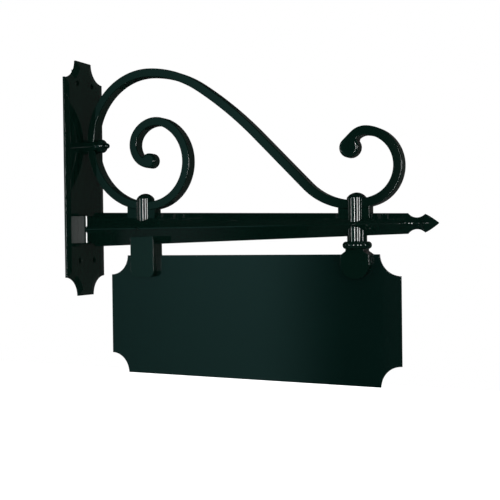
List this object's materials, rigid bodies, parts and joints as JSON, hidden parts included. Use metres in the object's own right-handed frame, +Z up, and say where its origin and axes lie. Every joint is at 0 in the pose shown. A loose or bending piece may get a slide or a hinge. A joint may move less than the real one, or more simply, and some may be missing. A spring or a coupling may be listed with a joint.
{
  "type": "projecting sign",
  "caption": "Wall-held projecting sign: tapered square arm with spear end, curled scroll brace above, scooped-corner panel held below.",
  "frame": {"origin": "on the wall plate's back face, where the arm's axis meets the wall", "axes": "+X away from the wall along the arm, +Z up, Y across the arm and normal to the sign panel"},
  "size_m": [0.6247, 0.1084, 0.5347],
  "materials": {
    "paint": "gloss",
    "panel_paint": "satin"
  },
  "bodies": {
    "root": {"wall_plate": "paint", "arm_flange": "paint", "arm_bolt": "paint", "arm_bar": "paint", "spear_finial": "paint", "finial_pin": "paint", "scroll": "paint", "wall_post": "paint", "wall_knob": "paint", "wall_stud": "paint", "left_saddle": "paint", "right_saddle": "paint", "left_clamp": "paint", "right_clamp": "paint", "left_tie_stud": "paint", "right_tie_stud": "paint", "left_cross_pin": "paint", "right_cross_pin": "paint", "left_hanger": "paint", "right_post": "paint", "right_collar": "paint", "right_hanger": "paint", "left_screw_a": "paint", "left_screw_b": "paint", "right_screw": "paint", "sign_panel": "panel_paint"}
  },
  "joints": []
}
